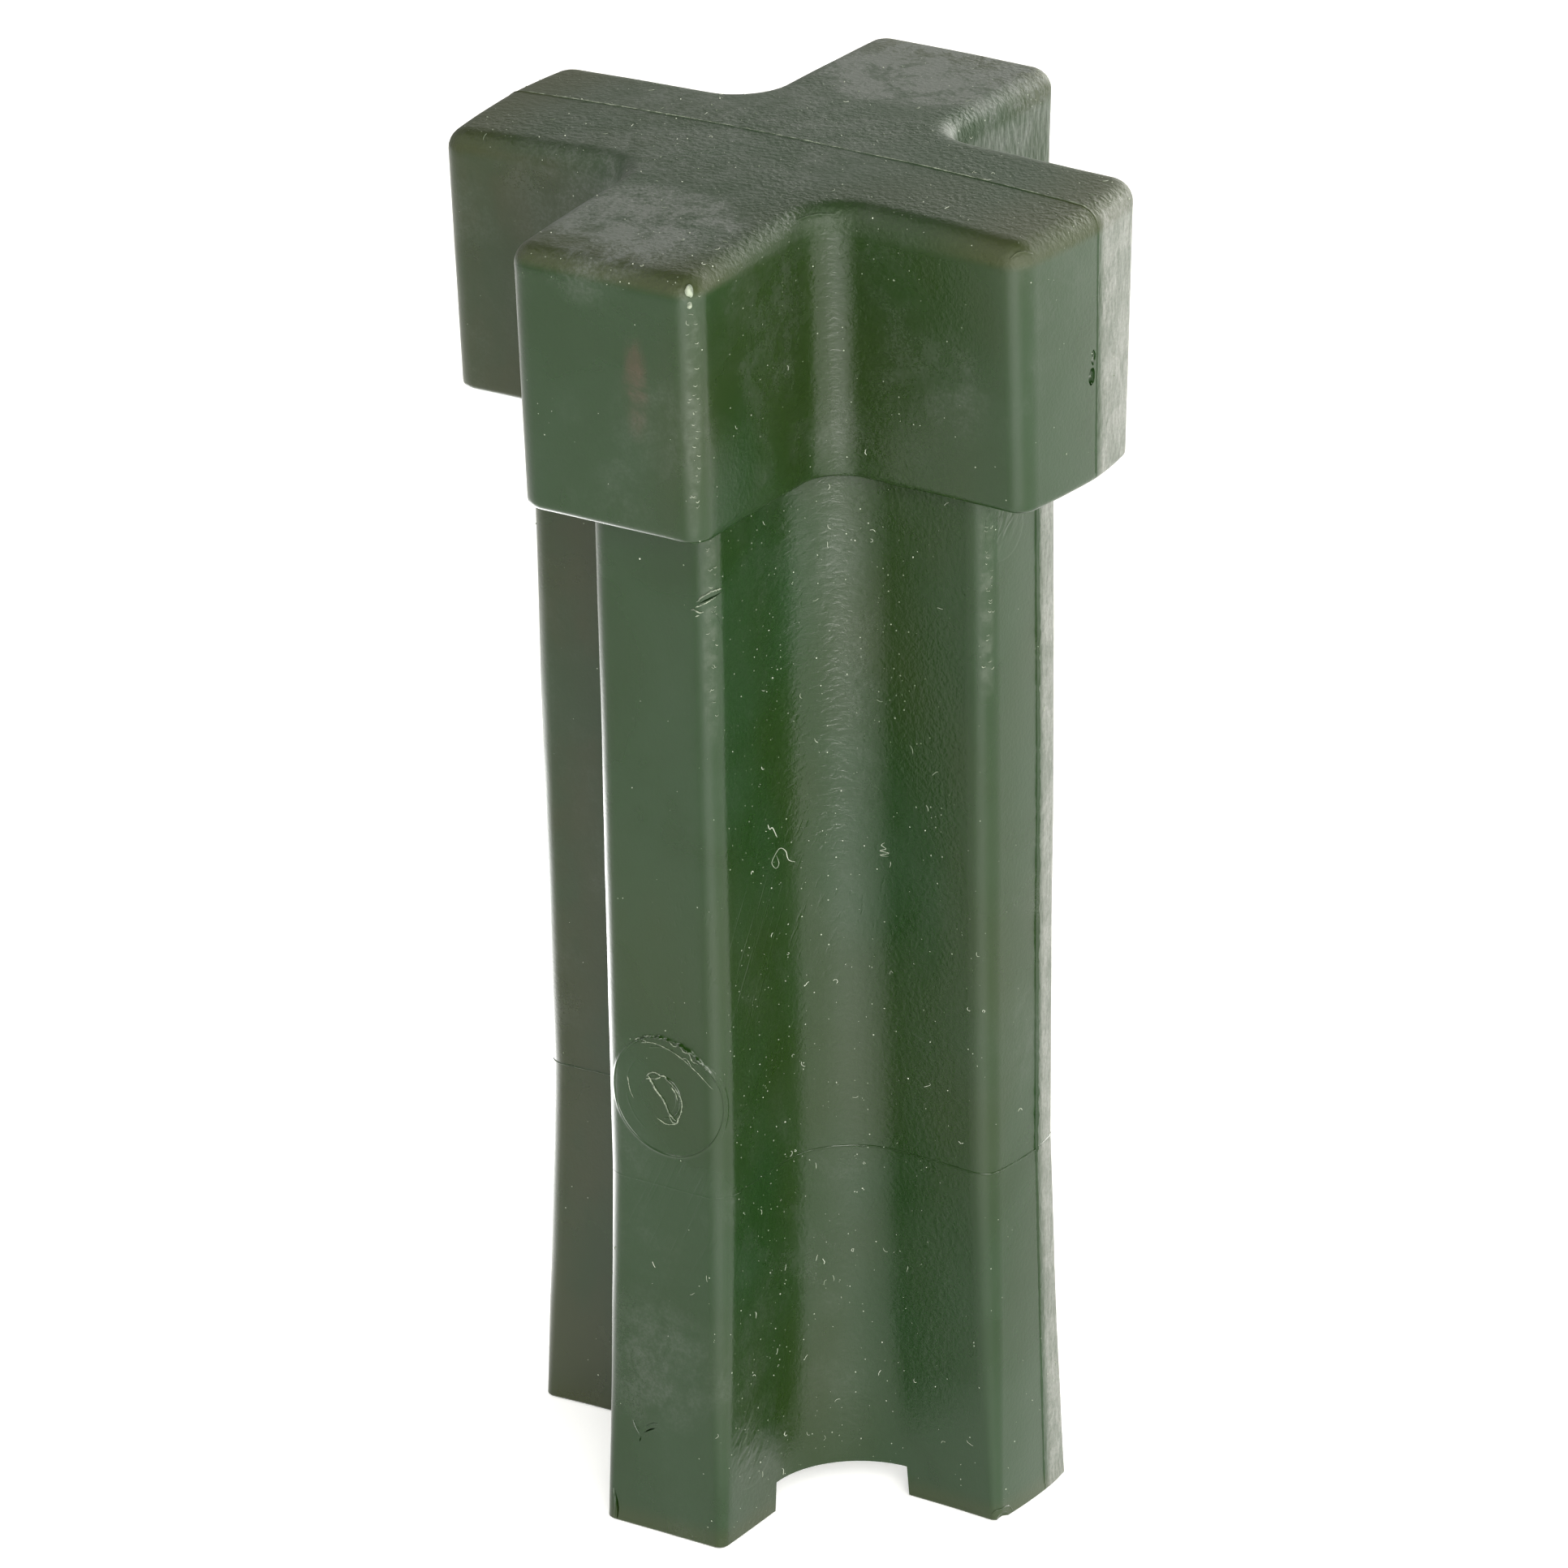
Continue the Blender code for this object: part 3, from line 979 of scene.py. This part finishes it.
class PlasticPainter(Painter):
    """Dark green moulded plastic: cloudy, pebbled, filmed with wear and painted sheen, and dotted with dust;
    some of its colour is painted light and shade.

    Its zones and patterns each run from 0 to 1.
    """

    def __init__(self):
        super().__init__("green_plastic_worn")
        normal = self.make("ShaderNodeNewGeometry").outputs["Normal"]
        facing = self.make("ShaderNodeSeparateXYZ", Vector=normal).outputs
        self.upright = self.ramp(self.math("ABSOLUTE", facing["Z"]), 0.6, 0.2)
        self.top = self.past("Z", 175.5, 177.0)
        self.flute = self.near((20, -20, 0), 13, 7, COLUMN)
        back_half = self.past("Y", PARTING_OFFSET - 0.1, PARTING_OFFSET + 0.2)
        self.behind = self.product(back_half, self.upright)
        self.right_end_back = self.product(
            self.ramp(facing["X"], 0.72, 0.93), self.past("X", 26, 30), self.past("Y", 2.2, 4.2)
        )
        self.scuffs = self.most(*[
            self.product(self.near((x, y, 0), 0.5, 0.8, COLUMN), self.between("Z", low, high, 5))
            for x, y, low, high in SCUFFED_EDGES
        ])
        self.clouds = self.pattern(15, 0.36, 0.64, 4, 0.55, distortion=0.7)
        self.grit = self.pattern(0.3, 0.38, 0.66, 3, 0.75, bottom=0.35)
        self.patchy = self.pattern(3.2, 0.36, 0.66, 6, 0.72, distortion=0.6, bottom=0.1)
        self.film_and_sheen = self.make_film_and_sheen()

    def make_film_and_sheen(self):
        """The thin pale film, partly real bloom and partly painted sheen: faint everywhere, thick in the
        clouds, some of which are painted highlights, and thinned in spots to paint shade.
        """
        bloom = self.pattern(10, 0.46, 0.74, 6, 0.62, self.turned((1, 1, 1.4), shift=-70), 0.5)
        layers = [self.total(self.product(bloom, self.patchy, 0.27), 0.012)]
        for middle, radius, fade, strength in CLOUDS_AND_HIGHLIGHTS:
            layers.append(self.product(self.near(middle, radius, fade), self.patchy, strength))
        # Thin the film in these spots: painted shade
        painted_shade = [
            self.rest(self.product(self.near(middle, radius, fade, shape), PAINTED_SHADE_STRENGTH))
            for middle, radius, fade, shape in PAINTED_SHADE_SPOTS
        ]
        return self.product(self.most(*layers), *painted_shade, self.grit)

    def dust(self):
        """Specks too small to be pieces of their own, most of them in the flute and on top."""
        cells = self.make("ShaderNodeTexVoronoi", Vector=self.place, Scale=1 / (SPECK_SPACING * MM))
        chance = self.make("ShaderNodeSeparateColor", Color=cells.outputs["Color"]).outputs
        crowd = self.most(self.ramp(self.flute, 0, 1, 0.1, 0.4), self.product(self.top, 0.6))
        chosen = self.math("LESS_THAN", chance["Red"], crowd)
        size = self.product(chance["Green"], chance["Green"], LARGEST_SPECK)
        return self.product(chosen, self.math("LESS_THAN", cells.outputs["Distance"], size))

    def colour(self):
        """The plastic's own mottling, and over it stains, brown on the outer striking face, painted
        reflections on the left arm and round the foot, a smudge, the film with its painted sheen, highlights
        and shade, the frost with its painted highlight, scuffs and dust.
        """
        stains = self.pattern(21, 0.44, 0.68, 3, place=self.turned((1, 1, 1.8), shift=90))
        tall = self.turned((1, 1, 1.6), shift=25)
        # Painted reflection: the left arm's upright faces are tinted paler olive in patches
        reflected_tint = self.pattern(7, 0.36, 0.62, 4, 0.6, tall, bottom=0.15, top=0.6)
        left_arm = self.product(self.past("X", -18, -28), self.upright)
        outer = self.rest(self.near((0, 0, 0), 30, 12, COLUMN))
        # Painted reflection: a brown rim round the foot
        foot = self.past("Z", 3.6, 0.6)
        smudge = self.near((5.0, -42.5, 163), 0.6, 1.9, (1, 1, 0.28))
        # Painted highlight: the back half of the right arm's end is paled, over its rougher grain
        frost_and_highlight = self.product(
            self.right_end_back, self.ramp(self.patchy, 0, 1, 0.5, 0.85), self.ramp(self.grit, 0, 1, 0.5, 1.0)
        )
        worn = self.pattern(1.0, 0.4, 0.7, 4, 0.65, self.turned((1.4, 1.4, 1), (30, 0, 0)))
        layers = [
            (self.product(stains, 0.7), OLIVE),
            (self.product(left_arm, reflected_tint), REFLECTED_OLIVE),
            (self.product(self.top, outer, 0.7), BROWN),
            (self.product(foot, 0.45), BROWN),
            (self.product(smudge, self.patchy, 0.7), SMUDGE),
            (self.film_and_sheen, FILM_AND_SHEEN),
            (frost_and_highlight, FROST_AND_HIGHLIGHT),
            (self.product(self.scuffs, worn, 0.45), SCUFFED),
            (self.product(self.dust(), 0.75), DUST),
        ]
        colour = self.blend(self.clouds, DEEP_GREEN, BLUE_GREEN)
        for share, layer in layers:
            colour = self.blend(share, colour, layer)
        return colour

    def roughness(self):
        """Satin, and duller under the film and its painted sheen, on the striking face, on the back half and
        where it is scuffed.
        """
        return self.total(
            self.ramp(self.clouds, 0, 1, 0.26, 0.3),
            self.product(self.film_and_sheen, 0.15),
            self.product(self.top, 0.34),
            self.product(self.behind, 0.16),
            self.product(self.scuffs, 0.28),
        )

    def relief(self):
        """Moulded grain, combing behind, wavelets high in the flute, scratches and scuffs."""
        patches = self.pattern(11, 0.35, 0.62, place=self.turned((1, 1, 1), shift=40), bottom=0.45)
        zone = self.most(self.product(self.top, 1.2), self.product(self.flute, 0.35), 0.12)
        combing = self.pattern(0.55, 0.3, 0.7, 1, 0.4, self.turned((1, 1, 2.4)))
        wavelets = self.pattern(0.5, 0.35, 0.72, 3, 0.6, self.turned((1.9, 1.9, 1), shift=12), 0.6)
        rippled = self.product(self.near((15, -17, 0), 7, 4, COLUMN), self.between("Z", 96, 176, 14))
        streaks = self.pattern(0.5, 0.55, 0.75, 2, 0.6, self.turned((1, 26, 1), (58, 0, 0)))
        rubs = self.pattern(0.5, 0.55, 0.75, 2, 0.6, self.turned((1, 1, 20), (0, 26, 0)))
        ripples = self.noise(0.8, 3, 0.6, self.turned((1.6, 1.6, 1), (30, 20, 0)))
        layers = [
            (self.product(self.pattern(0.42, 0.32, 0.72), patches, zone), 0.05),
            (self.product(combing, self.behind), 0.07),
            (self.noise(0.24, 2, 0.6), 0.017),
            (self.product(wavelets, rippled), 0.036),
            (self.product(streaks, self.near((10, -20, 84), 9, 12)), 0.035),
            (self.product(rubs, self.near((3, -32, 46), 5, 6)), 0.03),
            (self.product(ripples, self.scuffs), 0.012),
        ]
        normal = None
        for height, depth in layers:
            normal = self.bump(height, depth, normal)
        return normal


def plastic_material():
    """The block's own plastic."""
    paint = PlasticPainter()
    paint.shader.inputs["IOR"].default_value = PLASTIC_IOR
    return paint.finish(paint.colour(), paint.roughness(), paint.relief())


def lint_material():
    """Dull off-white fluff."""
    paint = Painter("pale_lint")
    colour = paint.blend(paint.pattern(3, 0.35, 0.65), (0.14, 0.17, 0.12), (0.38, 0.41, 0.34))
    return paint.finish(colour, 0.85)


def bruise_and_highlight_material():
    """Plastic bruised pale by a knock; it also paints the highlight on the parting line's crest."""
    paint = Painter("bruised_plastic_and_highlight")
    colour = paint.blend(paint.pattern(0.5, 0.35, 0.65, 3), (0.07, 0.09, 0.06), (0.21, 0.24, 0.18))
    return paint.finish(colour, 0.6, paint.bump(paint.noise(0.3), 0.05))


# Pools of light on the floor: azimuth, distance from the block, reach and strength; the core stays even
POOL_CORE = 0.18
FLOOR_POOLS = [
    (0, 0, 110, 0.4),
    (30, 170, 110, 0.9),
    (30, 500, 260, 2.2),
    (150, 500, 260, 0.15),
    (240, 170, 110, 4.0),
    (270, 170, 110, 7.0),
]


def floor_material():
    """Matt white paint with soft pools of light."""
    paint = Painter("floor_paint")
    pools = [
        paint.product(paint.near(tuple(direction(azimuth, 0) * distance), POOL_CORE * reach, reach), strength)
        for azimuth, distance, reach, strength in FLOOR_POOLS
    ]
    paint.shader.inputs["Emission Color"].default_value = (1.0, 1.0, 1.0, 1.0)
    paint.feed(paint.shader.inputs["Emission Strength"], paint.total(*pools))
    return paint.finish(paint.blend(paint.noise(60), (0.91, 0.91, 0.91), (0.94, 0.94, 0.94)), 0.9)


# ---- Studio

CAMERA_AZIMUTH = 33.06
CAMERA_ELEVATION = 23.69
CAMERA_ROLL = -0.78
CAMERA_DISTANCE = 1.376
CAMERA_AIM = (-1.506 * MM, 93.09 * MM)  # sideways from the axis, and height
CAMERA_LENS = 246.86


def direction(azimuth, elevation):
    """Unit vector from the block towards a point at this azimuth and elevation, front being 0."""
    a, e = math.radians(azimuth), math.radians(elevation)
    return Vector((math.sin(a) * math.cos(e), -math.cos(a) * math.cos(e), math.sin(e)))


def aimed(name, data, aim, azimuth, elevation, distance, roll=0.0):
    """A camera or lamp at this azimuth, elevation and distance from the place it faces."""
    away = direction(azimuth, elevation)
    made = bpy.data.objects.new(name, data)
    bpy.context.scene.collection.objects.link(made)
    made.location = Vector(aim) + away * distance
    made.rotation_mode = "QUATERNION"
    made.rotation_quaternion = away.to_track_quat("Z", "Y") @ Quaternion((0, 0, 1), math.radians(roll))
    return made


def make_camera():
    data = bpy.data.cameras.new("camera")
    data.lens = CAMERA_LENS
    data.sensor_width = 36.0
    data.clip_start = 0.05
    azimuth = math.radians(CAMERA_AZIMUTH)
    aside, height = CAMERA_AIM
    aim = (math.cos(azimuth) * aside, math.sin(azimuth) * aside, height)
    view = (CAMERA_AZIMUTH, CAMERA_ELEVATION, CAMERA_DISTANCE, CAMERA_ROLL)
    bpy.context.scene.camera = aimed("camera", data, aim, *view)


WARM_WHITE = (1.0, 0.985, 0.94)
SOFTBOX_SIDE = 0.6
SOFTBOX_DISTANCE = 1.5
SOFTBOX_AIM = 0.09  # height above the foot


def softbox(name, azimuth, elevation, power):
    """A square softbox that faces the middle of the block."""
    data = bpy.data.lights.new(name, "AREA")
    data.shape = "RECTANGLE"
    data.size = SOFTBOX_SIDE
    data.size_y = SOFTBOX_SIDE
    data.energy = power
    data.color = WARM_WHITE
    aimed(name, data, (0, 0, SOFTBOX_AIM), azimuth, elevation, SOFTBOX_DISTANCE)


def make_world():
    """Light from a pale horizon that darkens overhead."""
    world = bpy.data.worlds.new("studio")
    bpy.context.scene.world = world
    world.use_nodes = True
    tree = world.node_tree
    ray = tree.nodes.new("ShaderNodeTexCoord")
    height = tree.nodes.new("ShaderNodeSeparateXYZ")
    fade = tree.nodes.new("ShaderNodeMapRange")
    fade.interpolation_type = "SMOOTHSTEP"
    for name, value in (("From Min", 0.3), ("From Max", 0.75), ("To Min", 1.0), ("To Max", 0.0)):
        fade.inputs[name].default_value = value
    background = tree.nodes["Background"]
    background.inputs["Color"].default_value = (*WARM_WHITE, 1.0)
    tree.links.new(ray.outputs["Generated"], height.inputs[0])
    tree.links.new(height.outputs["Z"], fade.inputs["Value"])
    tree.links.new(fade.outputs["Result"], background.inputs["Strength"])


# Softboxes round the block: name, azimuth, elevation and watts
SOFTBOXES = [
    ("key_high", 25, 32, 5.7),
    ("key_low", 42, 7, 14.7),
    ("key_middle", 42, 34, 8.1),
    ("front_right", 60, 20, 9.6),
    ("right", 100, 12, 12.5),
    ("back_right", 168, 15, 26.0),
    ("back", 190, 25, 6.5),
    ("front_left_high", 300, 45, 6.9),
]


def make_studio():
    make_world()
    for name, azimuth, elevation, power in SOFTBOXES:
        softbox(name + "_softbox", azimuth, elevation, power)

    bpy.ops.mesh.primitive_plane_add(size=6.0, location=(0, 0, -0.0001))
    floor = bpy.context.object
    floor.name = "floor"
    floor.data.materials.append(floor_material())
    scene = bpy.context.scene
    scene.view_settings.view_transform = "Standard"
    scene.view_settings.look = "None"


# ---- Build


def dress(piece, material):
    """Give a piece its material and tie it to the block."""
    piece.data.materials.clear()
    piece.data.materials.append(material)
    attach(piece, "root")


def main():
    make_camera()
    make_studio()
    plastic = plastic_material()
    body = make_body()
    dress(body, plastic)
    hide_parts(BLOCK)
    skin = Skin(body)
    for make in (parting_flash, witness_line, gate_mark, foot_wrinkles, drag_marks, small_lips):
        dress(make(skin), plastic)
    bruised_and_highlight = bruise_and_highlight_material()
    # The parting crest's pale strip is a painted highlight; the corner scuff and torn edges are real bruising
    for make in (parting_crest_highlight, corner_scuff, torn_edges):
        dress(make(skin), bruised_and_highlight)
    lint = lint_material()
    dress(lint_curls(skin), lint)
    dress(dust_grains(skin), lint)


main()
